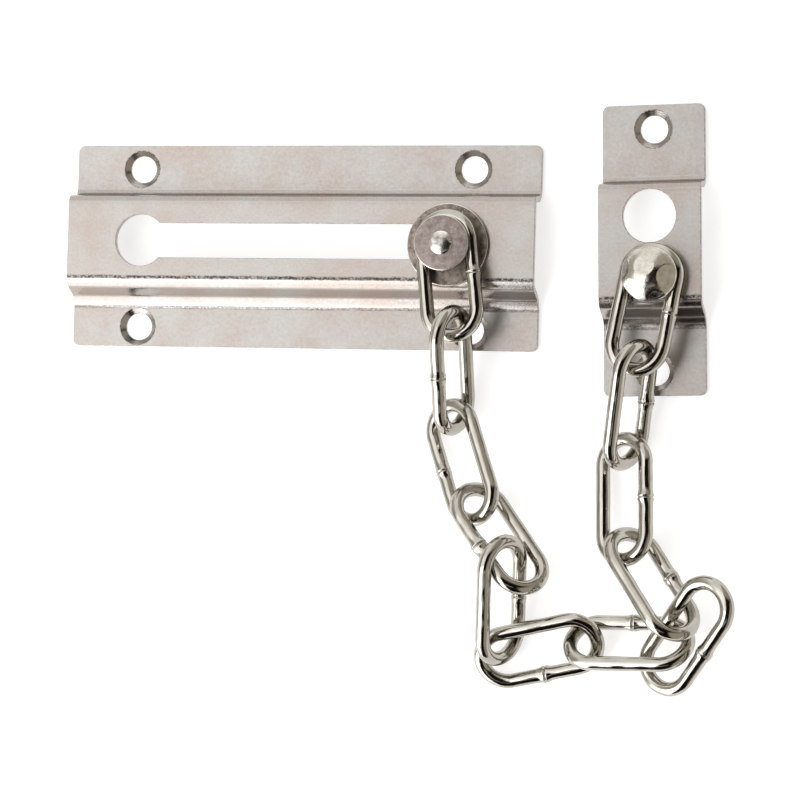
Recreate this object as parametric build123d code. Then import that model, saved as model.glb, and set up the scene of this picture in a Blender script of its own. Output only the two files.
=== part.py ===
"""A surface-mounted door chain: slide plate, slider, twelve welded links and anchor plate.

Frame: the chain lies on its back, as on a bench. +X runs along the slide plate, +Y is up the door
and +Z comes out of the door. The origin is the middle of the slide plate's four screws, on the
plate's back face. All sizes are in millimetres and all angles in degrees.
"""
from build123d import *
from math import atan2, cos, degrees, radians, sin, tan
import os

# Pressed sheet, shared by both plates
SHEET = 1.3
RAISE = 6.5                 # from the back of the flanges to the front of the raised face
UPPER_LEAN = 0.7            # how far the upper wall leans over its height
UPPER_FACE_BEND = 1.6       # front radius where the raised face turns into the upper wall
UPPER_FOOT_BEND = 1.5       # front radius where the upper wall turns into its flange
LOWER_LEAN = 2.6            # the lower wall leans more and has softer bends
LOWER_FACE_BEND = 2.8
LOWER_FOOT_BEND = 3.2
CORNER_R = 1.3              # outline corners of the flanges
CHANNEL_RISE = 0.8          # the raised face sits a little above the middle of its plate

# Countersunk holes for No. 8 wood screws
SCREW_HOLE_D = 5.6
COUNTERSINK_D = 7.8
COUNTERSINK_DEPTH = 0.9

# Slide plate
PLATE_LENGTH = 100.0
PLATE_HEIGHT = 42.0
PLATE_RISE = 0.4            # the plate's middle above the middle of its screws
FACE_HEIGHT = 18.6          # raised face, between the sharp corners of its walls
SCREW_FROM_END = 14.25      # screw holes, in from each end of the plate
SCREW_FROM_SIDE = 4.5       # and in from the edge of a flange, on average
SLOT_WIDTH = 7.2
SLOT_FROM_END = 13.6        # middle of the slot's closed round end, in from the plate's end
KEYHOLE_D = 10.8
KEYHOLE_FROM_END = 16.0     # middle of the keyhole, in from the other end

# Slider: a stud with a flange in front of the slot and a cap at its outer end
SLIDER_REST = 4.2           # how far the slider stands from the closed end of the slot
SLIDER_DROP = 0.7           # the chain's weight holds it below the middle of the slot
SLIDE_FIT = 0.2             # clearance that is left between the shank and the slot's lower side
SLIDE_GAP = 0.15            # clearance in front of and behind the raised face
HEAD_FIT = 0.5              # clearance of the inner head in the keyhole, each side
HEAD_THICKNESS = 1.6
FLANGE_D = 16.9
FLANGE_THICKNESS = 1.0
CAP_D = 11.3
CAP_THICKNESS = 1.2
DISC_CHAMFER = 0.25
NECK_D = 5.2
SPIGOT_D = 4.0
PEEN_D = 4.8
PEEN_HEIGHT = 0.9
SEAT = 0.01                 # clearance of a hole that is held on a stud

# Chain links, bent from wire and butt welded in the middle of one leg
WIRE_D = 3.0
LINK_INNER_LENGTH = 21.4
LINK_INNER_WIDTH = 7.4
WELD_D = 3.7
WELD_LENGTH = 1.8
NECK_PLAY = 0.5             # end play of the first link on its neck, in front and behind

# Anchor plate and its rivet
ANCHOR_WIDTH = 20.9
ANCHOR_HEIGHT = 58.8
ANCHOR_FACE_HEIGHT = 24.6   # raised face, between the sharp corners of its walls
ANCHOR_SCREW_FROM_END = 4.9
ANCHOR_HOLE_D = 10.8
ANCHOR_HOLE_Y = 5.7         # plain hole above the middle of the raised face
RIVET_X = 0.8               # rivet to the right of the middle of the raised face
RIVET_Y = -6.4              # and below it
ANCHOR_TURN = 1.8           # the plate lies turned a little from the slide plate
RIVET_HEAD_D = 11.2
RIVET_HEAD_HEIGHT = 3.4
RIVET_HEAD_RIM = 0.7
RIVET_NECK_D = 5.6
RIVET_PLAY = 0.8            # end play of the last link on its neck, in front and behind
RIVET_SHANK_D = 4.4
RIVET_TAIL_D = 7.0
RIVET_TAIL_HEIGHT = 1.5

SCREW_SPACING_X = PLATE_LENGTH - 2 * SCREW_FROM_END
SCREW_SPACING_Y = PLATE_HEIGHT - 2 * SCREW_FROM_SIDE
SLOT_END_X = PLATE_LENGTH / 2 - SLOT_FROM_END
KEYHOLE_X = KEYHOLE_FROM_END - PLATE_LENGTH / 2
SLOT_Y = PLATE_RISE + CHANNEL_RISE
SLIDER_X = SLOT_END_X - SLIDER_REST
SLIDER_Y = SLOT_Y - SLIDER_DROP
ANCHOR_SCREW_SPACING = ANCHOR_HEIGHT - 2 * ANCHOR_SCREW_FROM_END
BOW_RADIUS = (LINK_INNER_WIDTH + WIRE_D) / 2       # of the wire's centreline
LINK_STRAIGHT = LINK_INNER_LENGTH - LINK_INNER_WIDTH
FACE_BACK = RAISE - SHEET
FLANGE_BACK = RAISE + SLIDE_GAP
NECK_BOTTOM = FLANGE_BACK + FLANGE_THICKNESS
NECK_TOP = NECK_BOTTOM + WIRE_D + 2 * NECK_PLAY
RIVET_NECK_TOP = RAISE + WIRE_D + 2 * RIVET_PLAY

# How each link lies. Heading is the way its far end points in plan, climb is how its far end
# rises, and roll lifts the side on the right of the heading. It hooks round the far bow (+1) or the
# near bow (-1) of the link before. Its place runs along X, Y and Z, in wire diameters, from the
# inner crown of that bow to its own near inner crown, and for the first link from the middle of the
# slider's neck. The weld is on the right (+1) or the left (-1) of the heading.
LINK_LIES = [
    # heading, climb, roll, bow, place, weld side
    (-83, 2, -3, 1, (0.07, 0.17, 0.00), -1),
    (-91, -21, 71, 1, (0.00, 0.50, 0.87), 1),
    (-69, 10, -24, 1, (-0.63, 0.47, -0.57), 1),
    (-52, 10, 47, 1, (-0.57, 1.00, -0.67), 1),
    (-94, -16, 61, 1, (-1.63, 2.03, 0.77), -1),
    (13, 2, -21, 1, (-0.87, -0.67, -0.60), 1),
    (1, 6, 40, 1, (-0.77, -0.17, 0.17), -1),
    (55, 16, 16, 1, (-1.50, -2.20, -0.47), 1),
    (126, -14, -51, -1, (1.53, 3.35, 1.53), 1),
    (93, -7, 24, 1, (0.07, -0.77, 0.53), 1),
    (81, 16, -66, 1, (0.10, -0.67, 0.47), 1),
    (80, -2, 3, 1, (-0.33, -0.53, -0.60), 1),
]


def wall(lean, side, top, face_bend, foot_bend):
    """Front and back corners of one wall as (y, z), foot first, with their bend radii. Side is +1
    for the upper wall and -1 for the lower one, and top is the height of the face's corner in Y."""
    rise = RAISE - SHEET
    step = SHEET * tan(radians((90 - degrees(atan2(lean, rise))) / 2))   # corner's shift through the sheet
    foot = top + lean
    front = [(side * foot, SHEET), (side * top, RAISE)]
    back = [(side * (foot - step), 0), (side * (top - step), rise)]
    return front, back, [foot_bend, face_bend], [foot_bend + SHEET, face_bend - SHEET]


def hat_section(height, face_height):
    """Section across a pressed plate in the YZ plane: flange, wall, raised face, wall, flange."""
    edge = height / 2
    top = face_height / 2
    low_front, low_back, low_outer, low_inner = wall(LOWER_LEAN, -1, top, LOWER_FACE_BEND, LOWER_FOOT_BEND)
    up_front, up_back, up_outer, up_inner = wall(UPPER_LEAN, 1, top, UPPER_FACE_BEND, UPPER_FOOT_BEND)
    front = [(y + CHANNEL_RISE, z) for y, z in low_front + up_front[::-1]]
    back = [(y + CHANNEL_RISE, z) for y, z in up_back + low_back[::-1]]
    points = [(-edge, SHEET), *front, (edge, SHEET), (edge, 0), *back, (-edge, 0)]
    bends = [0, *low_outer, *up_outer[::-1], 0, 0, *up_inner, *low_inner[::-1], 0]
    return Plane.YZ * make_face(FilletPolyline(*points, radius=bends, close=True))


def pressed_plate(length, height, face_height):
    """A hat-section plate with rounded flange corners, centred on X and Y, its back on Z = 0."""
    plate = extrude(hat_section(height, face_height), amount=length / 2, both=True)
    corners = [edge for edge in plate.edges().filter_by(Axis.Z)
               if abs(abs(edge.center().Y) - height / 2) < CORNER_R / 2]
    return fillet(corners, CORNER_R)


def screw_hole():
    """Cutter for one countersunk hole through a flange."""
    flare = (COUNTERSINK_D - SCREW_HOLE_D) / 2
    mouth = COUNTERSINK_D / 2
    sink = Cone(mouth - flare, mouth + flare, 2 * COUNTERSINK_DEPTH)
    return Cylinder(SCREW_HOLE_D / 2, 4 * SHEET) + Pos(0, 0, SHEET) * sink


def make_slide_plate():
    """The long plate, with a keyhole slot along its raised face and four screw holes."""
    plate = Pos(0, PLATE_RISE) * pressed_plate(PLATE_LENGTH, PLATE_HEIGHT, FACE_HEIGHT)
    run = SLOT_END_X - KEYHOLE_X
    slot = Box(run, SLOT_WIDTH, 4 * SHEET)
    slot += Pos(run / 2, 0) * Cylinder(SLOT_WIDTH / 2, 4 * SHEET)
    slot += Pos(-run / 2, 0) * Cylinder(KEYHOLE_D / 2, 4 * SHEET)
    plate -= Pos(SLOT_END_X - run / 2, SLOT_Y, RAISE) * slot
    for place in GridLocations(SCREW_SPACING_X, SCREW_SPACING_Y, 2, 2):
        plate -= place * screw_hole()
    return plate


def make_anchor_plate():
    """The short plate, its rivet hole on the Z axis, with a large plain hole and two screw holes."""
    plate = pressed_plate(ANCHOR_WIDTH, ANCHOR_HEIGHT, ANCHOR_FACE_HEIGHT)
    plate -= Pos(0, CHANNEL_RISE + ANCHOR_HOLE_Y, RAISE) * Cylinder(ANCHOR_HOLE_D / 2, 4 * SHEET)
    rivet = Pos(RIVET_X, CHANNEL_RISE + RIVET_Y, RAISE)
    plate -= rivet * Cylinder(RIVET_SHANK_D / 2 + SEAT, 4 * SHEET)
    for place in GridLocations(1, ANCHOR_SCREW_SPACING, 1, 2):
        plate -= place * screw_hole()
    return Pos(-RIVET_X, -CHANNEL_RISE - RIVET_Y) * plate


def turned(*profile):
    """A solid turned about the Z axis from its outline as (radius, height) points."""
    outline = Polyline(*profile, close=True)
    return revolve(Plane.XZ * make_face(outline), Axis.Z)


def domed(radius, height, rim):
    """A domed button of the given radius on Z = 0, with a short straight rim."""
    rise = height - rim
    ball = (radius ** 2 + rise ** 2) / (2 * rise)
    button = Pos(0, 0, height - ball) * Sphere(ball)
    return button & Pos(0, 0, height / 2) * Cylinder(radius, height)


def make_slider_stud():
    """The stud: inner head, shank in the slot, neck, and a spigot peened over the cap."""
    head_r = KEYHOLE_D / 2 - HEAD_FIT
    shank_r = SLOT_WIDTH / 2 - SLIDER_DROP - SLIDE_FIT
    head_top = FACE_BACK - SLIDE_GAP
    cap_top = NECK_TOP + CAP_THICKNESS
    stud = turned((0, head_top - HEAD_THICKNESS), (head_r, head_top - HEAD_THICKNESS), (head_r, head_top),
                  (shank_r, head_top), (shank_r, FLANGE_BACK), (NECK_D / 2, FLANGE_BACK),
                  (NECK_D / 2, NECK_TOP), (SPIGOT_D / 2, NECK_TOP), (SPIGOT_D / 2, cap_top), (0, cap_top))
    return stud + Pos(0, 0, cap_top) * domed(PEEN_D / 2, PEEN_HEIGHT, PEEN_HEIGHT / 4)


def make_disc(diameter, thickness, bore):
    """A flat disc on Z = 0 with a bored middle and a broken outer edge."""
    disc = Pos(0, 0, thickness / 2) * Cylinder(diameter / 2, thickness)
    rims = disc.edges().filter_by(GeomType.CIRCLE)
    disc = chamfer(rims, DISC_CHAMFER)
    return disc - Cylinder(bore / 2 + SEAT, 4 * thickness)


def make_anchor_rivet():
    """The anchor's rivet on the Z axis: domed head, neck, shank through the sheet and a peened tail."""
    body = Pos(0, 0, (RAISE + RIVET_NECK_TOP) / 2) * Cylinder(RIVET_NECK_D / 2, RIVET_NECK_TOP - RAISE)
    body += Pos(0, 0, RAISE - SHEET / 2) * Cylinder(RIVET_SHANK_D / 2, SHEET)
    body += Pos(0, 0, RIVET_NECK_TOP) * domed(RIVET_HEAD_D / 2, RIVET_HEAD_HEIGHT, RIVET_HEAD_RIM)
    tail = domed(RIVET_TAIL_D / 2, RIVET_TAIL_HEIGHT, RIVET_TAIL_HEIGHT / 4)
    return body + Pos(0, 0, FACE_BACK) * Rot(180, 0, 0) * tail


def make_link(weld_side):
    """One link in the XY plane, long axis on X, with the bead of its butt weld on one leg."""
    leg = Rot(0, 90, 0) * Cylinder(WIRE_D / 2, LINK_STRAIGHT)
    ring = Torus(BOW_RADIUS, WIRE_D / 2)
    reach = 2 * (BOW_RADIUS + WIRE_D)
    half = ring & Pos(reach / 2, 0) * Box(reach, reach, reach)
    far_bow = Pos(LINK_STRAIGHT / 2, 0) * half
    near_bow = Rot(0, 0, 180) * far_bow
    link = far_bow + near_bow + Pos(0, BOW_RADIUS) * leg + Pos(0, -BOW_RADIUS) * leg
    bead = Cylinder(WELD_D / 2, WELD_LENGTH)
    bead = fillet(bead.edges().filter_by(GeomType.CIRCLE), (WELD_D - WIRE_D) / 2)
    return link + Pos(0, weld_side * BOW_RADIUS) * Rot(0, 90, 0) * bead


def link_axes(heading, climb, roll):
    """Unit vectors along a link's long axis and toward the side on the right of its heading."""
    h, c, r = radians(heading), radians(climb), radians(roll)
    along = Vector(cos(c) * cos(h), cos(c) * sin(h), sin(c))
    level = Vector(sin(h), -cos(h), 0)
    upward = level.cross(along)
    return along, level * cos(r) + upward * sin(r)


def place_links():
    """Lay the links one after another from the slider's neck, as planes centred on each link."""
    planes = []
    neck = Vector(SLIDER_X, SLIDER_Y, (NECK_BOTTOM + NECK_TOP) / 2)
    for heading, climb, roll, bow, place, _ in LINK_LIES:
        along, side = link_axes(heading, climb, roll)
        hook, reach = neck, LINK_STRAIGHT / 2
        if planes:
            before = planes[-1]
            reach = LINK_INNER_LENGTH / 2
            hook = before.origin + before.x_dir * (bow * reach)
        centre = hook + Vector(*place) * WIRE_D + along * reach
        planes.append(Plane(origin=centre, x_dir=along, z_dir=along.cross(side)))
    return planes


link_planes = place_links()
last = link_planes[-1]
rivet_axis = last.origin + last.x_dir * (LINK_STRAIGHT / 2)
slider_place = Pos(SLIDER_X, SLIDER_Y)
anchor_place = Pos(rivet_axis.X, rivet_axis.Y) * Rot(0, 0, ANCHOR_TURN)

nodes = {
    "slide_plate": make_slide_plate(),
    "slider_stud": slider_place * make_slider_stud(),
    "slider_flange": slider_place * Pos(0, 0, FLANGE_BACK) * make_disc(FLANGE_D, FLANGE_THICKNESS, NECK_D),
    "slider_cap": slider_place * Pos(0, 0, NECK_TOP) * make_disc(CAP_D, CAP_THICKNESS, SPIGOT_D),
    "anchor_plate": anchor_place * make_anchor_plate(),
    "anchor_rivet": anchor_place * make_anchor_rivet(),
}
for number, (plane, lie) in enumerate(zip(link_planes, LINK_LIES), start=1):
    nodes[f"link_{number:02d}"] = plane * make_link(lie[-1])

os.makedirs("parts", exist_ok=True)
for name, shape in nodes.items():
    export_step(shape, f"parts/{name}.step")
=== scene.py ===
"""A door chain laid out flat: slide plate, slider, twelve welded links and anchor plate.

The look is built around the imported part. Lengths are millimetres times MM, or metres.
"""

import math
import random

import bmesh
import bpy
import numpy as np
from mathutils import Matrix, Vector, noise


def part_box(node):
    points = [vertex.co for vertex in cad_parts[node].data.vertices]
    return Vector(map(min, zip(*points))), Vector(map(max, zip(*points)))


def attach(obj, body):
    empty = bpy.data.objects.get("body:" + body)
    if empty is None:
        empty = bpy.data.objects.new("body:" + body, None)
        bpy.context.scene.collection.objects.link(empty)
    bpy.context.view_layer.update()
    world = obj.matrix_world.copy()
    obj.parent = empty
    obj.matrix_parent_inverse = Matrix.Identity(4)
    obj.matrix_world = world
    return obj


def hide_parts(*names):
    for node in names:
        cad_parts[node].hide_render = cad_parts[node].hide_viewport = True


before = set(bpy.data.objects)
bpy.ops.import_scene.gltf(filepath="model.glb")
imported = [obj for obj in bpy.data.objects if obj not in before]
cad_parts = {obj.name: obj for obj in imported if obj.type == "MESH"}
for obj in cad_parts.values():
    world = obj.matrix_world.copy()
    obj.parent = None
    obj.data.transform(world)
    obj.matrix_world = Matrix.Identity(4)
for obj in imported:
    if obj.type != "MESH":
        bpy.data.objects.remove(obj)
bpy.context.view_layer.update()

# Slide plate and anchor plate: each is one strip of cold-rolled steel, blanked, pressed to a
# hat shape and nickel plated in a barrel. A speckled line along each lower bend is painted dark as
# the dark room mirrored in the bend, painted shade darkens the corner above the raised face, and
# the blanking tool leaves the cut edges dark and torn.
MM = 0.001
EDGE_ROUND = 0.2 * MM       # how far the barrel has worn the sharp corners
SAME_POINT = 0.001 * MM     # CAD corners closer than this are one point
FLAT_TOLERANCE = math.radians(1.0)
SHARP_ANGLE = math.radians(38)
CUT_EDGE_LEAN = 0.05        # a face that leans less than this from upright is a cut edge
SHEET = 1.3 * MM
SLIDE_FACE_Y = 1.2 * MM     # middle of the slide plate's raised face
SLIDE_HALF_FACE = 9.3 * MM  # half its height, between the sharp corners of its walls
ANCHOR_HALF_FACE = 12.3 * MM
ANCHOR_TURN = math.radians(1.8)
RIVET_OFFSET = Vector((0.8, -6.4, 0)) * MM      # from the middle of the anchor's raised face
PLATE_NICKEL = "B0ADA9"
PLATE_WARM = "ADA29B"
BARE_STEEL = "756C66"
# dark of torn steel on the cut edges, also painted on the lower bends as their dark reflection
TORN_AND_MIRRORED_DARK = "3E3833"
TORN_LIGHT = "C9C3BC"
STAIN_SIZE = 12 * MM
GRAIN_SIZE = 0.5 * MM       # real grain, pits, peel and tears are finer, drawn coarse so that they show
PIT_SIZE = 0.7 * MM
PEEL_SIZE = 0.4 * MM        # stretched grain at the bends
TEAR_SIZE = 0.45 * MM
WANDER_SIZE = 2.5 * MM
WANDER = 0.3 * MM
TEAR_BUMP = 0.12 * MM
CONE_FACING = (0.7, 0.85)   # how far up a countersink's cone faces
CONE_NICKEL = "D2CEC8"
CHATTER_SIZE = 1.2 * MM     # real tool chatter is finer too
CHATTER_BUMP = 0.1 * MM
FLANGE_LEVEL = 4 * MM       # all of a flange is lower than this
CORNER_SHADE = (5.5 * MM, 1.4 * MM)     # where the painted shade in the upper flange's corner starts and is full
BROW_SHADE = (-0.9 * MM, 1.4 * MM)            # painted shade line: height above the face's upper corner, half width
FACE_DARK_LINE = (1.6 * MM, 0.5 * MM)       # painted dark reflection line: height above the face's lower corner, half width
FOOT_DARK_LINE = (-4.3 * MM, 0.4 * MM)      # the same, for the painted dark line at the lower wall's foot
SHADE_STRENGTH = (0.1, 0.12)             # of the painted shade in the corner and in the line along the face's upper corner
DARK_LINE_STRENGTH = (1.0, 0.6)              # of the face's painted dark line and of the foot's
SATIN_ROUGHNESS = (0.3, 0.38)
BEND_POLISH = 0.14          # how much smoother the bends are
SKIN_BUMP = 0.08 * MM


def linear(colour):
    """An sRGB hex colour as linear RGBA."""
    values = [int(colour[i:i + 2], 16) / 255 for i in (0, 2, 4)]
    return [v / 12.92 if v <= 0.04045 else ((v + 0.055) / 1.055) ** 2.4 for v in values] + [1.0]


def add(tree, kind, links=None, **settings):
    """Add a node, with its settings, and values or links for its sockets by name or number."""
    node = tree.nodes.new(kind)
    for name, value in settings.items():
        setattr(node, name, value)
    for socket, source in (links or {}).items():
        if isinstance(source, bpy.types.NodeSocket):
            tree.links.new(source, node.inputs[socket])
        else:
            node.inputs[socket].default_value = source
    return node


def new_metal(name, colour, roughness):
    """A metal material, with its node tree, its shader and its texture coordinates."""
    material = bpy.data.materials.new(name)
    material.use_nodes = True
    tree = material.node_tree
    shader = tree.nodes["Principled BSDF"]
    shader.inputs["Metallic"].default_value = 1.0
    shader.inputs["Base Color"].default_value = linear(colour)
    shader.inputs["Roughness"].default_value = roughness
    where = add(tree, "ShaderNodeTexCoord")
    return material, tree, shader, where


def satin_nickel_sheet(name, middle, turn, half_face):
    """Barrel nickel on pressed sheet: satin, so it mirrors only as a broad haze, with faint pink
    stains, fine grain, a few pits, smoother bends, a painted dark reflection in a speckled line
    along each lower bend, and painted shade in the upper flange's corner by the raised face and
    in a line along the face's upper corner."""
    material, tree, shader, where = new_metal(name, PLATE_NICKEL, 0.4)
    place = add(tree, "ShaderNodeMapping", {"Vector": where.outputs["Object"], "Location": middle,
                                            "Rotation": (0, 0, turn)}, vector_type="TEXTURE")
    point = place.outputs[0]
    split = add(tree, "ShaderNodeSeparateXYZ", {0: point})
    wave = add(tree, "ShaderNodeTexNoise", {"Vector": point, "Scale": 1 / WANDER_SIZE, "Detail": 5.0,
                                            "Roughness": 0.7})
    shift = add(tree, "ShaderNodeMath", {0: wave.outputs["Fac"], 1: 0.5}, operation="SUBTRACT")
    height = add(tree, "ShaderNodeMath", {0: shift.outputs[0], 1: 2 * WANDER, 2: split.outputs["Y"]},
                 operation="MULTIPLY_ADD")

    def line_at_height(along, width, strength):
        """A line along the plate at a height above the middle of the raised face."""
        away = add(tree, "ShaderNodeMath", {0: height.outputs[0], 1: along}, operation="SUBTRACT")
        off = add(tree, "ShaderNodeMath", {0: away.outputs[0]}, operation="ABSOLUTE")
        line = add(tree, "ShaderNodeMapRange", {0: off.outputs[0], 1: width, 2: width / 3, 3: 0.0,
                                                4: strength})
        return line.outputs[0]

    stain = add(tree, "ShaderNodeTexNoise", {"Vector": point, "Scale": 1 / STAIN_SIZE, "Detail": 5.0,
                                             "Roughness": 0.6})
    spread = add(tree, "ShaderNodeMapRange", {0: stain.outputs["Fac"], 1: 0.4, 2: 0.65, 3: 0.0, 4: 1.0})
    tone = add(tree, "ShaderNodeMix", {0: spread.outputs[0], 6: linear(PLATE_NICKEL),
                                       7: linear(PLATE_WARM)}, data_type="RGBA")
    # Painted shade: darker toward the upper flange's corner by the raised face, and in a line along the
    # face's upper corner.
    on_flange = add(tree, "ShaderNodeMath", {0: split.outputs["Z"], 1: FLANGE_LEVEL},
                    operation="LESS_THAN")
    corner = add(tree, "ShaderNodeMapRange", {0: height.outputs[0], 1: half_face + CORNER_SHADE[0],
                                              2: half_face + CORNER_SHADE[1], 3: 0.0,
                                              4: SHADE_STRENGTH[0]})
    low = add(tree, "ShaderNodeMath", {0: corner.outputs[0], 1: on_flange.outputs[0]},
              operation="MULTIPLY")
    above = add(tree, "ShaderNodeMath", {0: height.outputs[0], 1: half_face}, operation="GREATER_THAN")
    strip = add(tree, "ShaderNodeMath", {0: low.outputs[0], 1: above.outputs[0]}, operation="MULTIPLY")
    brow_shade = line_at_height(half_face + BROW_SHADE[0], BROW_SHADE[1], SHADE_STRENGTH[1])
    upper = add(tree, "ShaderNodeMath", {0: strip.outputs[0], 1: brow_shade}, operation="MAXIMUM")
    tear = add(tree, "ShaderNodeTexNoise", {"Vector": point, "Scale": 1 / TEAR_SIZE, "Detail": 4.0,
                                            "Roughness": 0.6})
    torn = add(tree, "ShaderNodeMapRange", {0: tear.outputs["Fac"], 1: 0.38, 2: 0.56, 3: 0.25, 4: 1.0})
    # Painted dark reflection: a line along each lower bend, broken into specks by the tear noise.
    face_dark_line = line_at_height(-half_face + FACE_DARK_LINE[0], FACE_DARK_LINE[1], DARK_LINE_STRENGTH[0])
    foot_dark_line = line_at_height(-half_face + FOOT_DARK_LINE[0], FOOT_DARK_LINE[1], DARK_LINE_STRENGTH[1])
    lines = add(tree, "ShaderNodeMath", {0: face_dark_line, 1: foot_dark_line}, operation="MAXIMUM")
    speckled_dark_reflection = add(tree, "ShaderNodeMath", {0: lines.outputs[0], 1: torn.outputs[0]}, operation="MULTIPLY")
    pits = add(tree, "ShaderNodeTexNoise", {"Vector": point, "Scale": 1 / PIT_SIZE, "Detail": 6.0,
                                            "Roughness": 0.75})
    rare = add(tree, "ShaderNodeMapRange", {0: pits.outputs["Fac"], 1: 0.69, 2: 0.75, 3: 0.0, 4: 0.4})
    grain = add(tree, "ShaderNodeTexNoise", {"Vector": point, "Scale": 1 / GRAIN_SIZE, "Detail": 4.0})
    mottle = add(tree, "ShaderNodeMapRange", {0: grain.outputs["Fac"], 1: 0.35, 2: 0.7, 3: 0.0, 4: 0.16})
    small = add(tree, "ShaderNodeMath", {0: rare.outputs[0], 1: mottle.outputs[0]}, operation="MAXIMUM")
    # Pits and grain darken toward bare steel, and the painted shade does the same.
    pits_and_shade = add(tree, "ShaderNodeMath", {0: small.outputs[0], 1: upper.outputs[0]}, operation="ADD")
    pitted_and_shaded = add(tree, "ShaderNodeMix", {0: pits_and_shade.outputs[0], 6: tone.outputs[2], 7: linear(BARE_STEEL)},
                data_type="RGBA")
    # The painted dark reflection of the lower bends goes on last.
    with_dark_reflection = add(tree, "ShaderNodeMix", {0: speckled_dark_reflection.outputs[0], 6: pitted_and_shaded.outputs[2], 7: linear(TORN_AND_MIRRORED_DARK)},
                 data_type="RGBA")
    tree.links.new(with_dark_reflection.outputs[2], shader.inputs["Base Color"])

    lean = add(tree, "ShaderNodeSeparateXYZ", {0: where.outputs["Normal"]})
    level = add(tree, "ShaderNodeMath", {0: lean.outputs["Z"]}, operation="ABSOLUTE")
    bent = add(tree, "ShaderNodeMapRange", {0: level.outputs[0], 1: 0.999, 2: 0.97, 3: 0.0, 4: 1.0})
    dull = add(tree, "ShaderNodeMapRange", {0: grain.outputs["Fac"], 1: 0.3, 2: 0.7,
                                            3: SATIN_ROUGHNESS[0], 4: SATIN_ROUGHNESS[1]})
    worked = add(tree, "ShaderNodeMath", {0: bent.outputs[0], 1: -BEND_POLISH, 2: dull.outputs[0]},
                 operation="MULTIPLY_ADD")
    tree.links.new(worked.outputs[0], shader.inputs["Roughness"])
    peel = add(tree, "ShaderNodeTexNoise", {"Vector": point, "Scale": 1 / PEEL_SIZE, "Detail": 4.0})
    skin = add(tree, "ShaderNodeMath", {0: bent.outputs[0], 1: 0.12, 2: 0.07}, operation="MULTIPLY_ADD")
    depth = add(tree, "ShaderNodeMath", {0: lines.outputs[0], 1: 0.8, 2: skin.outputs[0]},
                operation="MULTIPLY_ADD")
    bump = add(tree, "ShaderNodeBump", {"Height": peel.outputs["Fac"], "Strength": depth.outputs[0],
                                        "Distance": SKIN_BUMP})
    tree.links.new(bump.outputs[0], shader.inputs["Normal"])
    return material


def sheared_edge():
    """The sheared edge of the steel blank: part burnished and part torn, so it breaks into dark
    and light."""
    material, tree, shader, where = new_metal("sheared_edge", BARE_STEEL, 0.42)
    point = where.outputs["Object"]
    tear = add(tree, "ShaderNodeTexNoise", {"Vector": point, "Scale": 1 / TEAR_SIZE, "Detail": 5.0,
                                            "Roughness": 0.7})
    torn = add(tree, "ShaderNodeMapRange", {0: tear.outputs["Fac"], 1: 0.42, 2: 0.62, 3: 0.0, 4: 1.0})
    tone = add(tree, "ShaderNodeMix", {0: torn.outputs[0], 6: linear(TORN_AND_MIRRORED_DARK), 7: linear(TORN_LIGHT)},
               data_type="RGBA")
    tree.links.new(tone.outputs[2], shader.inputs["Base Color"])
    bump = add(tree, "ShaderNodeBump", {"Height": tear.outputs["Fac"], "Strength": 0.8,
                                        "Distance": TEAR_BUMP})
    tree.links.new(bump.outputs[0], shader.inputs["Normal"])
    return material


def drilled_countersink():
    """A countersink cut with a turning tool and plated: bright, with fine chatter marks."""
    material, tree, shader, where = new_metal("drilled_countersink", CONE_NICKEL, 0.16)
    chatter = add(tree, "ShaderNodeTexNoise", {"Vector": where.outputs["Object"],
                                               "Scale": 1 / CHATTER_SIZE, "Detail": 3.0})
    dull = add(tree, "ShaderNodeMapRange", {0: chatter.outputs["Fac"], 1: 0.35, 2: 0.65, 3: 0.1, 4: 0.24})
    tree.links.new(dull.outputs[0], shader.inputs["Roughness"])
    bump = add(tree, "ShaderNodeBump", {"Height": chatter.outputs["Fac"], "Strength": 0.2,
                                        "Distance": CHATTER_BUMP})
    tree.links.new(bump.outputs[0], shader.inputs["Normal"])
    return material


def pressed_plate(node, body, face, edge, sink):
    """A copy of a pressed plate with its corners rounded over, and its cut edges and countersinks
    in their own finishes."""
    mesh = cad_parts[node].data.copy()
    mesh.name = f"{node}_pressed"
    solid = bmesh.new()
    solid.from_mesh(mesh)
    bmesh.ops.remove_doubles(solid, verts=solid.verts, dist=SAME_POINT)
    bmesh.ops.dissolve_limit(solid, angle_limit=FLAT_TOLERANCE, verts=solid.verts, edges=solid.edges)
    solid.normal_update()
    for side in solid.faces:
        side.smooth = True
        side.material_index = int(abs(side.normal.z) < CUT_EDGE_LEAN)
        if CONE_FACING[0] < side.normal.z < CONE_FACING[1] and side.calc_center_median().z < SHEET:
            side.material_index = 2
    for crease in solid.edges:
        crease.smooth = crease.calc_face_angle(0) < SHARP_ANGLE
    solid.to_mesh(mesh)
    solid.free()
    mesh.materials.clear()
    for material in (face, edge, sink):
        mesh.materials.append(material)
    plate = bpy.data.objects.new(f"{node}_pressed", mesh)
    bpy.context.collection.objects.link(plate)
    rolled = plate.modifiers.new("rolled_edges", "BEVEL")
    rolled.width = EDGE_ROUND
    rolled.segments = 2
    rolled.limit_method = "ANGLE"
    rolled.angle_limit = SHARP_ANGLE
    rolled.material = 1
    rolled.harden_normals = True
    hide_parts(node)
    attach(plate, body)


rivet_low, rivet_high = (Vector(corner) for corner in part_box("anchor_rivet"))
slide_middle = Vector((0, SLIDE_FACE_Y, 0))
anchor_middle = (rivet_low + rivet_high) / 2 - Matrix.Rotation(ANCHOR_TURN, 3, "Z") @ RIVET_OFFSET
anchor_middle.z = 0
torn_steel = sheared_edge()
countersink = drilled_countersink()
pressed_plate("slide_plate", "slide_plate",
              satin_nickel_sheet("satin_nickel_slide_plate", slide_middle, 0, SLIDE_HALF_FACE),
              torn_steel, countersink)
pressed_plate("anchor_plate", "anchor",
              satin_nickel_sheet("satin_nickel_anchor_plate", anchor_middle, ANCHOR_TURN,
                                 ANCHOR_HALF_FACE), torn_steel, countersink)
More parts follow.
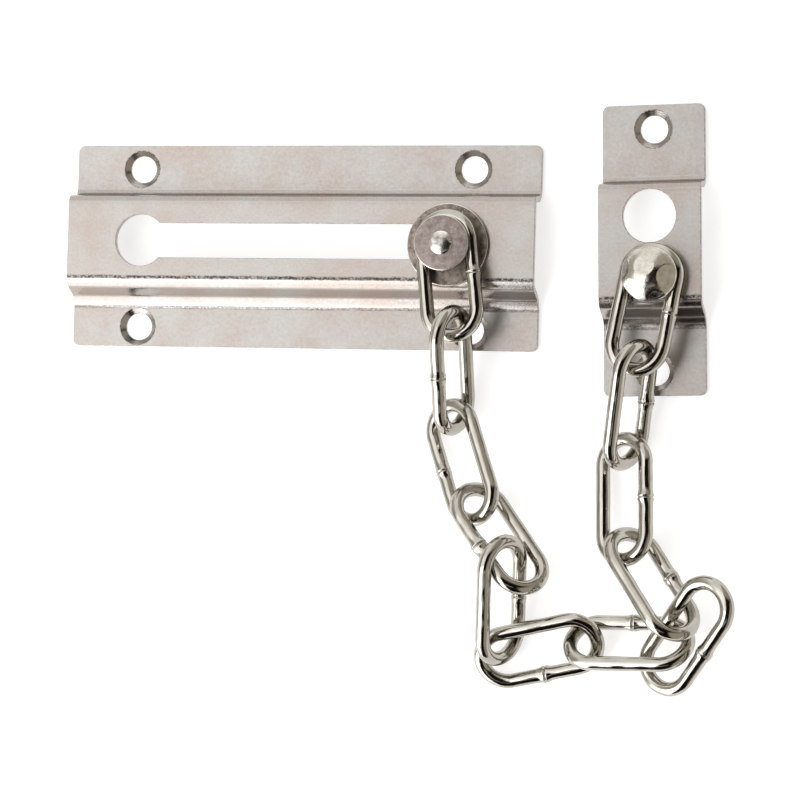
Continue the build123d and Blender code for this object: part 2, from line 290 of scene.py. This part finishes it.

# Slider: a stud turned from bar with a big flange that runs on the raised face, a neck for the
# first link, and a small cap that is held on by peening the stud's end over. The discs are
# stamped, so their faces are matt and their rims are burred and smoother, with the rims'
# highlight painted bright.
FLANGE_STEEL = "94897F"
FLANGE_DARK = "5A514B"
CAP_STEEL = "998D88"
CAP_DARK = "776B67"
# painted highlight of the rounded rims; the small nicks share this colour
RIM_HIGHLIGHT = "E9E5DF"
STUD_STEEL = "CBC7C1"
STUD_DARK = "6F6A65"
BLOTCH_SIZE = 1.6 * MM
GRIT_SIZE = 0.3 * MM        # real grit is finer, drawn coarse so that it shows
GRIT_BUMP = 0.06 * MM
RIM_POLISH = 0.22           # how much smoother the worn rims and nicks are
FACE_WAVE = 3 * MM          # length of the slight waves in a stamped face
TURN_STEPS = 96
SLOT_SHANK_R = 2.7 * MM
LINK_NECK_R = 2.6 * MM
SPIGOT_R = 2.0 * MM
PEEN_R = 2.4 * MM
INNER_HEAD = 1.6 * MM
PEEN_HEIGHT = 0.9 * MM
PEEN_DOME = 0.75            # share of that height which is the dome
PEEN_RIM = 0.12             # share of it that no blow reaches
STUD_EASE = 0.12 * MM
EASE_STEPS = 4
EASE_LIMIT = 2.1            # an eased corner takes at most a side's length divided by this
CORE_R = 0.02 * MM          # turned outlines start this far from their axis
BORE_FIT = 0.01 * MM
PEEN_FLATS = [
    # turn from +X and tilt from upright in degrees, and depth as a share of the dome's height
    (150, 14, 0.16),
    (20, 34, 0.22),
    (-60, 40, 0.16),
    (-125, 44, 0.20),
]


def dull_nickel(name, light, dark, roughness):
    """Barrel nickel on a stamped disc: matt, with soft blotches, fine grit and small bright nicks,
    and a rim, smoother where its face turns over the edge, that is painted bright as its highlight."""
    material, tree, shader, where = new_metal(name, light, roughness)
    point = where.outputs["Object"]
    blotch = add(tree, "ShaderNodeTexNoise", {"Vector": point, "Scale": 1 / BLOTCH_SIZE, "Detail": 6.0,
                                              "Roughness": 0.65})
    spread = add(tree, "ShaderNodeMapRange", {0: blotch.outputs["Fac"], 1: 0.38, 2: 0.66, 3: 0.0, 4: 1.0})
    tone = add(tree, "ShaderNodeMix", {0: spread.outputs[0], 6: linear(light), 7: linear(dark)},
               data_type="RGBA")
    split = add(tree, "ShaderNodeSeparateXYZ", {0: where.outputs["Normal"]})
    level = add(tree, "ShaderNodeMath", {0: split.outputs["Z"]}, operation="ABSOLUTE")
    # Painted highlight: the rounded rim is painted near white, and it and the nicks are smoother.
    turned_over = add(tree, "ShaderNodeMapRange", {0: level.outputs[0], 1: 0.985, 2: 0.85, 3: 0.0,
                                                   4: 1.0})
    upper = add(tree, "ShaderNodeMath", {0: level.outputs[0], 1: 0.25}, operation="GREATER_THAN")
    rim = add(tree, "ShaderNodeMath", {0: turned_over.outputs[0], 1: upper.outputs[0]}, operation="MULTIPLY")
    grit = add(tree, "ShaderNodeTexNoise", {"Vector": point, "Scale": 1 / GRIT_SIZE, "Detail": 4.0})
    nick = add(tree, "ShaderNodeMapRange", {0: grit.outputs["Fac"], 1: 0.66, 2: 0.72, 3: 0.0, 4: 0.7})
    bright = add(tree, "ShaderNodeMath", {0: rim.outputs[0], 1: nick.outputs[0]}, operation="MAXIMUM")
    highlighted_tone = add(tree, "ShaderNodeMix", {0: bright.outputs[0], 6: tone.outputs[2], 7: linear(RIM_HIGHLIGHT)},
                    data_type="RGBA")
    tree.links.new(highlighted_tone.outputs[2], shader.inputs["Base Color"])
    polish = add(tree, "ShaderNodeMath", {0: bright.outputs[0], 1: -RIM_POLISH, 2: roughness},
                 operation="MULTIPLY_ADD")
    tree.links.new(polish.outputs[0], shader.inputs["Roughness"])
    bump = add(tree, "ShaderNodeBump", {"Height": grit.outputs["Fac"], "Strength": 0.4,
                                        "Distance": GRIT_BUMP})
    tree.links.new(bump.outputs[0], shader.inputs["Normal"])
    return material


def link_object(name, verts, faces, material, body, nodes):
    """A smooth mesh object that stands for CAD nodes and rides on a body."""
    mesh = bpy.data.meshes.new(name)
    mesh.from_pydata(verts, [], faces)
    mesh.polygons.foreach_set("use_smooth", [True] * len(mesh.polygons))
    mesh.materials.append(material)
    mesh.update()
    piece = bpy.data.objects.new(name, mesh)
    bpy.context.collection.objects.link(piece)
    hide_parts(*nodes)
    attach(piece, body)
    return piece


def eased(corners, radius):
    """An outline of (radius, height) corners, each eased to a curve that cuts off at most radius."""
    points = [Vector(corners[0])]
    for before, corner, after in zip(corners, corners[1:], corners[2:]):
        here = Vector(corner)
        back, ahead = Vector(before) - here, Vector(after) - here
        cut = min(radius, back.length / EASE_LIMIT, ahead.length / EASE_LIMIT)
        start = here + back.normalized() * cut
        end = here + ahead.normalized() * cut
        for step in range(EASE_STEPS + 1):
            t = step / EASE_STEPS
            points.append(start * (1 - t) ** 2 + here * (2 * t * (1 - t)) + end * t ** 2)
    return points + [Vector(corners[-1])]


def turned(profile, centre):
    """Vertices and side faces of an outline turned about an upright axis."""
    verts = []
    for radius, height in profile:
        for step in range(TURN_STEPS):
            angle = 2 * math.pi * step / TURN_STEPS
            verts.append(Vector((centre.x + radius * math.cos(angle),
                                 centre.y + radius * math.sin(angle), height)))
    faces = []
    for row in range(len(profile) - 1):
        for step in range(TURN_STEPS):
            after = (step + 1) % TURN_STEPS
            low, high = row * TURN_STEPS, (row + 1) * TURN_STEPS
            faces.append((low + step, low + after, high + after, high + step))
    return verts, faces


def ends(count):
    """The two round faces that close a turned outline of that many points."""
    last = (count - 1) * TURN_STEPS
    return [tuple(reversed(range(TURN_STEPS))), tuple(range(last, last + TURN_STEPS))]


def dome(radius, rise, base, rings):
    """Outline of a dome from its edge to its top, and the radius and height of its ball's middle."""
    ball = (radius ** 2 + rise ** 2) / (2 * rise)
    ball_height = base + rise - ball
    edge = math.asin(min(1.0, radius / ball))
    if rise > radius:
        edge = math.pi - edge
    tilts = [edge * (1 - ring / rings) for ring in range(1, rings + 1)]
    outline = [Vector((max(ball * math.sin(tilt), CORE_R), ball_height + ball * math.cos(tilt)))
               for tilt in tilts]
    return outline, ball, ball_height


def strike(verts, centre, ball, flats, rise, lowest):
    """Press flats into the dome above the lowest height, as a hammer does."""
    for turn, tilt, depth in flats:
        turn, tilt = math.radians(turn), math.radians(tilt)
        blow = Vector((math.sin(tilt) * math.cos(turn), math.sin(tilt) * math.sin(turn), math.cos(tilt)))
        limit = ball - depth * rise
        for vert in verts:
            over = (vert - centre).dot(blow) - limit
            if over > 0 and vert.z > lowest:
                vert -= blow * over


def knocked(verts, size, depth, seed):
    """Move vertices by a smooth random amount, as if knocked about in a plating barrel. Without
    its seed, noise_vector would differ from run to run."""
    noise.seed_set(seed)
    shift = Vector((seed * 3.7, seed * 1.3, seed * 2.1))
    for vert in verts:
        vert += noise.noise_vector(vert / size + shift) * depth


def node_box(node):
    """The middle of a CAD node's box, and its lowest and highest corners."""
    low, high = (Vector(corner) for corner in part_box(node))
    return (low + high) / 2, low, high


def stamped_disc(node, bore, edge, wobble, seed, material):
    """A stamped disc with a bored middle, eased edges and a slightly uneven face."""
    _, low, high = node_box(node)
    radius = (high.x - low.x) / 2
    profile = eased([(bore, low.z), (radius, low.z), (radius, high.z), (bore, high.z)], edge)
    verts, faces = turned(profile, stud_middle)
    knocked(verts, FACE_WAVE, wobble, seed)
    link_object(f"{node}_stamped", verts, faces, material, "slider", [node])


def peened_stud(material):
    """The stud: inner head, shank in the slot, neck, spigot, and its end peened over the cap."""
    _, low, high = node_box("slider_stud")
    _, flange_low, _ = node_box("slider_flange")
    _, cap_low, cap_high = node_box("slider_cap")
    head_r = (high.x - low.x) / 2
    base = high.z - PEEN_HEIGHT * PEEN_DOME
    corners = [(CORE_R, low.z), (head_r, low.z), (head_r, low.z + INNER_HEAD),
               (SLOT_SHANK_R, low.z + INNER_HEAD), (SLOT_SHANK_R, flange_low.z),
               (LINK_NECK_R, flange_low.z), (LINK_NECK_R, cap_low.z), (SPIGOT_R, cap_low.z),
               (SPIGOT_R, cap_high.z), (PEEN_R, cap_high.z), (PEEN_R, base)]
    profile = eased(corners, STUD_EASE)
    outline, ball, ball_height = dome(PEEN_R, high.z - base, base, rings=24)
    profile += outline
    verts, faces = turned(profile, stud_middle)
    ball_middle = Vector((stud_middle.x, stud_middle.y, ball_height))
    strike(verts, ball_middle, ball, PEEN_FLATS, high.z - base, cap_high.z + PEEN_HEIGHT * PEEN_RIM)
    link_object("slider_stud_peened", verts, faces + ends(len(profile)), material, "slider",
                ["slider_stud"])


stud_middle, _, _ = node_box("slider_stud")
stamped_disc("slider_flange", LINK_NECK_R + BORE_FIT, edge=0.3 * MM, wobble=0.06 * MM, seed=1,
             material=dull_nickel("matt_nickel_flange", FLANGE_STEEL, FLANGE_DARK, roughness=0.46))
stamped_disc("slider_cap", SPIGOT_R + BORE_FIT, edge=0.24 * MM, wobble=0.03 * MM, seed=2,
             material=dull_nickel("matt_nickel_cap", CAP_STEEL, CAP_DARK, roughness=0.44))
peened_stud(dull_nickel("peened_nickel_stud", STUD_STEEL, STUD_DARK, roughness=0.3))

# Chain: each link is bent from drawn wire, butt welded in the middle of one leg and bright nickel
# plated. The weld stands proud as a small pinched lump with a crease where the ends met.
WIRE_R = 1.5 * MM
BOW_R = 5.2 * MM
LEG = 14.0 * MM
WELD_RISE = 0.36 * MM
WELD_SPREAD = 0.95 * MM
WELD_UNEVEN = (0.7, 0.3)    # even and uneven share of the lump's height round the wire
CREASE_DEPTH = 0.24 * MM
CREASE_SPREAD = 0.16 * MM
DENT_SIZE = 2.6 * MM
DENT_DEPTH = 0.04 * MM
ALONG_STEPS = 260
ROUND_STEPS = 28
WELD_CROWDING = 0.11        # shifts steps toward the weld, which needs the finer mesh
LINK_COUNT = 12
WIRE_NICKEL = "C2BEB6"
WIRE_STAIN = "99948B"
WIRE_STAIN_SIZE = 3 * MM
DIE_LINES = (7.0, 30.0, 1.0)            # cells along the wire and round it, coarse so that they show
DIE_BUMP = 0.12 * MM


def bright_nickel_wire():
    """Bright nickel on drawn wire: near mirror, so it shows the room as hard black and white
    streaks, which the die lines along the wire break up a little."""
    material, tree, shader, where = new_metal("bright_nickel_wire", WIRE_NICKEL, 0.1)
    lines = add(tree, "ShaderNodeMapping", {"Vector": where.outputs["UV"], "Scale": DIE_LINES})
    drawn = add(tree, "ShaderNodeTexNoise", {"Vector": lines.outputs[0], "Scale": 1.0, "Detail": 3.0})
    stain = add(tree, "ShaderNodeTexNoise", {"Vector": where.outputs["Object"],
                                             "Scale": 1 / WIRE_STAIN_SIZE, "Detail": 4.0})
    tone = add(tree, "ShaderNodeMix", {0: stain.outputs["Fac"], 6: linear(WIRE_NICKEL),
                                       7: linear(WIRE_STAIN)}, data_type="RGBA")
    tree.links.new(tone.outputs[2], shader.inputs["Base Color"])
    rough = add(tree, "ShaderNodeMapRange", {0: stain.outputs["Fac"], 1: 0.35, 2: 0.7, 3: 0.05, 4: 0.13})
    tree.links.new(rough.outputs[0], shader.inputs["Roughness"])
    bump = add(tree, "ShaderNodeBump", {"Height": drawn.outputs["Fac"], "Strength": 0.25,
                                        "Distance": DIE_BUMP})
    tree.links.new(bump.outputs[0], shader.inputs["Normal"])
    return material


def link_lie(node):
    """A link's middle, long axis and side axis toward its weld, from the areas of its CAD faces."""
    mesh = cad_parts[node].data
    centres = np.empty(3 * len(mesh.polygons))
    areas = np.empty(len(mesh.polygons))
    mesh.polygons.foreach_get("center", centres)
    mesh.polygons.foreach_get("area", areas)
    centres = centres.reshape(-1, 3)
    middle = (centres * areas[:, None]).sum(0) / areas.sum()
    offset = centres - middle
    _, axes = np.linalg.eigh((offset * areas[:, None]).T @ offset)
    along, side = axes[:, 2], axes[:, 1]
    corners = np.empty(3 * len(mesh.vertices))
    mesh.vertices.foreach_get("co", corners)
    corners = corners.reshape(-1, 3) - middle
    reach = corners[np.abs(corners @ along) < LEG / 4] @ side
    if reach.max() < -reach.min():
        side = -side
    return Vector(middle), Vector(along), Vector(side)


def wire_point(distance):
    """Place and outward normal in the link's plane at a length along its centreline, which starts
    at the weld in the middle of one leg, and the way back to the weld along the wire."""
    bow = math.pi * BOW_R
    around = 2 * (LEG + bow)
    distance %= around
    to_weld = min(distance, around - distance)
    if distance < LEG / 2:
        return distance, BOW_R, 0.0, 1.0, to_weld
    distance -= LEG / 2
    if distance < bow:
        angle = distance / BOW_R
        return (LEG / 2 + BOW_R * math.sin(angle), BOW_R * math.cos(angle), math.sin(angle),
                math.cos(angle), to_weld)
    distance -= bow
    if distance < LEG:
        return LEG / 2 - distance, -BOW_R, 0.0, -1.0, to_weld
    distance -= LEG
    if distance < bow:
        angle = distance / BOW_R
        return (-LEG / 2 - BOW_R * math.sin(angle), -BOW_R * math.cos(angle), -math.sin(angle),
                -math.cos(angle), to_weld)
    distance -= bow
    return distance - LEG / 2, BOW_R, 0.0, 1.0, to_weld


def welded_link(number, material):
    """One link, swept round its centreline, with the weld lump, crease and slight dents."""
    node = f"link_{number:02d}"
    centre, along, side = link_lie(node)
    up = along.cross(side)
    lean = random.Random(number).uniform(0, 2 * math.pi)
    length = 2 * (LEG + math.pi * BOW_R)
    verts = []
    for ring in range(ALONG_STEPS):
        share = ring / ALONG_STEPS
        share -= WELD_CROWDING * math.sin(2 * math.pi * share)
        x, y, nx, ny, to_weld = wire_point(share * length)
        lump = WELD_RISE * math.exp(-(to_weld / WELD_SPREAD) ** 2)
        crease = CREASE_DEPTH * math.exp(-(to_weld / CREASE_SPREAD) ** 2)
        for step in range(ROUND_STEPS):
            angle = 2 * math.pi * step / ROUND_STEPS
            uneven = WELD_UNEVEN[0] + WELD_UNEVEN[1] * math.cos(2 * angle + lean)
            outward = (along * nx + side * ny) * math.cos(angle) + up * math.sin(angle)
            point = centre + along * x + side * y + outward * (WIRE_R + lump * uneven - crease)
            dent = noise.noise(point / DENT_SIZE + Vector((number, 0, 0)))
            verts.append(point + outward * ((dent - 1) * DENT_DEPTH))
    faces = []
    for ring in range(ALONG_STEPS):
        ahead = (ring + 1) % ALONG_STEPS
        for step in range(ROUND_STEPS):
            after = (step + 1) % ROUND_STEPS
            faces.append((ring * ROUND_STEPS + step, ahead * ROUND_STEPS + step,
                          ahead * ROUND_STEPS + after, ring * ROUND_STEPS + after))
    piece = link_object(f"{node}_welded", verts, faces, material, node, [node])
    sheet = piece.data.uv_layers.new(name="along_the_wire")
    for ring in range(ALONG_STEPS):
        for step in range(ROUND_STEPS):
            first = 4 * (ring * ROUND_STEPS + step)
            left, right = ring / ALONG_STEPS, (ring + 1) / ALONG_STEPS
            low, high = step / ROUND_STEPS, (step + 1) / ROUND_STEPS
            for corner, value in enumerate(((left, low), (right, low), (right, high), (left, high))):
                sheet.data[first + corner].uv = value


wire_nickel = bright_nickel_wire()
for number in range(1, LINK_COUNT + 1):
    welded_link(number, wire_nickel)

# Anchor rivet: a headed rivet set through the anchor plate with the last link on its neck. The
# dome was struck with a hammer, which left flats on it, and it is bright nickel plated.
RIVET_NECK_R = 2.8 * MM
RIVET_SHANK_R = 2.2 * MM
RIVET_TAIL_R = 3.5 * MM
RIVET_RIM = 0.7 * MM
RIVET_HEAD_HEIGHT = 3.4 * MM
RIVET_TAIL_HEIGHT = 1.5 * MM
STEM_EASE = 0.15 * MM
TAIL_TOP = 0.7              # radius of the tail's flat end, as a share of the tail's
TAIL_CHAMFER = (0.3 * MM, 0.4 * MM)     # heights of the slant at the tail's end and behind the sheet
BLOW_SIZE = 1.1 * MM
BLOW_BUMP = 0.15 * MM
DOME_NICKEL = "D6D2CA"
DOME_STAIN = "A79F94"
RIVET_FLATS = [
    # turn from +X and tilt from upright in degrees, and depth as a share of the dome's height
    (110, 14, 0.11),
    (-8, 36, 0.15),
    (-70, 46, 0.09),
    (-135, 40, 0.13),
    (170, 48, 0.10),
]


def bright_nickel_dome():
    """Bright nickel on a struck dome: mirror bright, with hammer chatter and a few dull marks."""
    material, tree, shader, where = new_metal("bright_nickel_dome", DOME_NICKEL, 0.15)
    chatter = add(tree, "ShaderNodeTexNoise", {"Vector": where.outputs["Object"],
                                               "Scale": 1 / BLOW_SIZE, "Detail": 4.0,
                                               "Roughness": 0.6})
    tone = add(tree, "ShaderNodeMix", {0: chatter.outputs["Fac"], 6: linear(DOME_NICKEL),
                                       7: linear(DOME_STAIN)}, data_type="RGBA")
    tree.links.new(tone.outputs[2], shader.inputs["Base Color"])
    dull = add(tree, "ShaderNodeMapRange", {0: chatter.outputs["Fac"], 1: 0.35, 2: 0.65, 3: 0.1, 4: 0.26})
    tree.links.new(dull.outputs[0], shader.inputs["Roughness"])
    bump = add(tree, "ShaderNodeBump", {"Height": chatter.outputs["Fac"], "Strength": 0.4,
                                        "Distance": BLOW_BUMP})
    tree.links.new(bump.outputs[0], shader.inputs["Normal"])
    return material


def struck_rivet(material):
    """The rivet's outline turned about its axis, with flats struck on the dome."""
    centre, low, high = node_box("anchor_rivet")
    head_r = (high.x - low.x) / 2
    head_bottom = high.z - RIVET_HEAD_HEIGHT
    sheet_back = low.z + RIVET_TAIL_HEIGHT
    stem = [(CORE_R, low.z), (RIVET_TAIL_R * TAIL_TOP, low.z + TAIL_CHAMFER[0]),
            (RIVET_TAIL_R, sheet_back - TAIL_CHAMFER[1]), (RIVET_TAIL_R, sheet_back),
            (RIVET_SHANK_R, sheet_back), (RIVET_SHANK_R, sheet_back + SHEET),
            (RIVET_NECK_R, sheet_back + SHEET), (RIVET_NECK_R, head_bottom),
            (head_r, head_bottom), (head_r, head_bottom + RIVET_RIM)]
    profile = eased(stem, STEM_EASE)
    outline, ball, ball_height = dome(head_r, RIVET_HEAD_HEIGHT - RIVET_RIM, head_bottom + RIVET_RIM,
                                      rings=40)
    profile += outline
    verts, faces = turned(profile, centre)
    strike(verts, Vector((centre.x, centre.y, ball_height)), ball, RIVET_FLATS,
           RIVET_HEAD_HEIGHT - RIVET_RIM, head_bottom + RIVET_RIM / 2)
    link_object("anchor_rivet_struck", verts, faces + ends(len(profile)), material, "anchor",
                ["anchor_rivet"])


struck_rivet(bright_nickel_dome())

# Table and light: the chain lies on a lit white sheet. A broad white screen stands on the left, a
# white card and a weak strip light in front, and the dark room around the camera shows as black
# streaks in the metal.
TABLE_SIZE = 6.0
TABLE_DROP = 0.02 * MM
TABLE_GLOW = 0.7
PAPER = "C8C8C7"
LIGHT_STRENGTH = 1.9
ROOM_LEAN = 0.38            # the dark of the room leans to the left toward the front
BACK_STARTS = 0.34          # how far toward the back a direction points where the back wall starts
BACK_FULL = 0.5             # and where it fills all
ROOM_STOPS = [
    # place from the far left (0) to the far right (1), and what stands there
    (0.00, "96948D"),
    (0.08, "96948D"),
    (0.14, "FFFFFF"),
    (0.425, "FFFFFF"),
    (0.445, "120E0C"),
    (0.84, "120E0C"),
    (0.90, "938E83"),
    (1.00, "938E83"),
]
BACK_STOPS = [
    # the same for the grey wall behind the part
    (0.00, "96948D"),
    (0.14, "D8D8D6"),
    (0.43, "D8D8D6"),
    (0.52, "948F85"),
    (1.00, "88837A"),
]


def white_table():
    """A matt white sheet below the part, lit a little from beneath."""
    material = bpy.data.materials.new("white_table")
    material.use_nodes = True
    shader = material.node_tree.nodes["Principled BSDF"]
    shader.inputs["Base Color"].default_value = linear(PAPER)
    shader.inputs["Roughness"].default_value = 0.9
    shader.inputs["Emission Color"].default_value = linear("FFFFFF")
    shader.inputs["Emission Strength"].default_value = TABLE_GLOW
    half = TABLE_SIZE / 2
    mesh = bpy.data.meshes.new("table")
    corners = [(x, y, -TABLE_DROP) for x, y in ((-half, -half), (half, -half), (half, half), (-half, half))]
    mesh.from_pydata(corners, [], [(0, 1, 2, 3)])
    mesh.materials.append(material)
    table = bpy.data.objects.new("table", mesh)
    bpy.context.collection.objects.link(table)


def softbox(name, place, target, size, power):
    """A soft light with the given width and height, which faces a point."""
    lamp = bpy.data.lights.new(name, "AREA")
    lamp.shape = "RECTANGLE"
    lamp.size, lamp.size_y = size
    lamp.energy = power
    holder = bpy.data.objects.new(name, lamp)
    bpy.context.collection.objects.link(holder)
    holder.location = place
    holder.rotation_euler = (Vector(target) - Vector(place)).to_track_quat("-Z", "Y").to_euler()


def studio_room():
    """The light that comes from all round, by direction."""
    world = bpy.data.worlds.new("studio")
    world.use_nodes = True
    tree = world.node_tree
    where = add(tree, "ShaderNodeTexCoord")
    split = add(tree, "ShaderNodeSeparateXYZ", {0: where.outputs["Generated"]})
    across = add(tree, "ShaderNodeMath", {0: split.outputs["Y"], 1: -ROOM_LEAN, 2: split.outputs["X"]},
                 operation="MULTIPLY_ADD")
    share = add(tree, "ShaderNodeMapRange", {0: across.outputs[0], 1: -1.0, 2: 1.0, 3: 0.0, 4: 1.0})
    walls = []
    for stops in (ROOM_STOPS, BACK_STOPS):
        ramp = add(tree, "ShaderNodeValToRGB", {0: share.outputs[0]})
        band = ramp.color_ramp.elements
        band.remove(band[1])
        band[0].position = stops[0][0]
        band[0].color = linear(stops[0][1])
        for place, colour in stops[1:]:
            band.new(place).color = linear(colour)
        walls.append(ramp.outputs[0])
    behind = add(tree, "ShaderNodeMapRange", {0: split.outputs["Y"], 1: BACK_STARTS, 2: BACK_FULL, 3: 0.0,
                                              4: 1.0})
    sky = add(tree, "ShaderNodeMix", {0: behind.outputs[0], 6: walls[0], 7: walls[1]}, data_type="RGBA")
    ground = tree.nodes["Background"]
    tree.links.new(sky.outputs[2], ground.inputs["Color"])
    ground.inputs["Strength"].default_value = LIGHT_STRENGTH
    bpy.context.scene.world = world


white_table()
studio_room()
softbox("front_card", place=(-0.21, -0.24, 0.21), target=(-0.21, 0.02, 0.06), size=(0.36, 0.48),
        power=1.3)
softbox("front_strip", place=(0.05, -0.24, 0.30), target=(0.05, 0.0, 0.0), size=(0.24, 0.05),
        power=0.018)

# Camera: a long lens about 0.7 m above the table, to the right of the part. Its place, turn and
# lens were found by fitting points of the slide plate and the slider in the photo.
CAMERA_PLACE = (206.0 * MM, -57.4 * MM, 686.6 * MM)
CAMERA_TURN = (2.57, 15.0, 1.67)
CAMERA_LENS = 156.0
SENSOR = 36.0

lens = bpy.data.cameras.new("camera")
lens.lens = CAMERA_LENS
lens.sensor_width = SENSOR
lens.clip_start = 0.01
camera = bpy.data.objects.new("camera", lens)
bpy.context.collection.objects.link(camera)
camera.location = CAMERA_PLACE
camera.rotation_euler = [math.radians(turn) for turn in CAMERA_TURN]
bpy.context.scene.camera = camera
bpy.context.scene.view_settings.view_transform = "Standard"
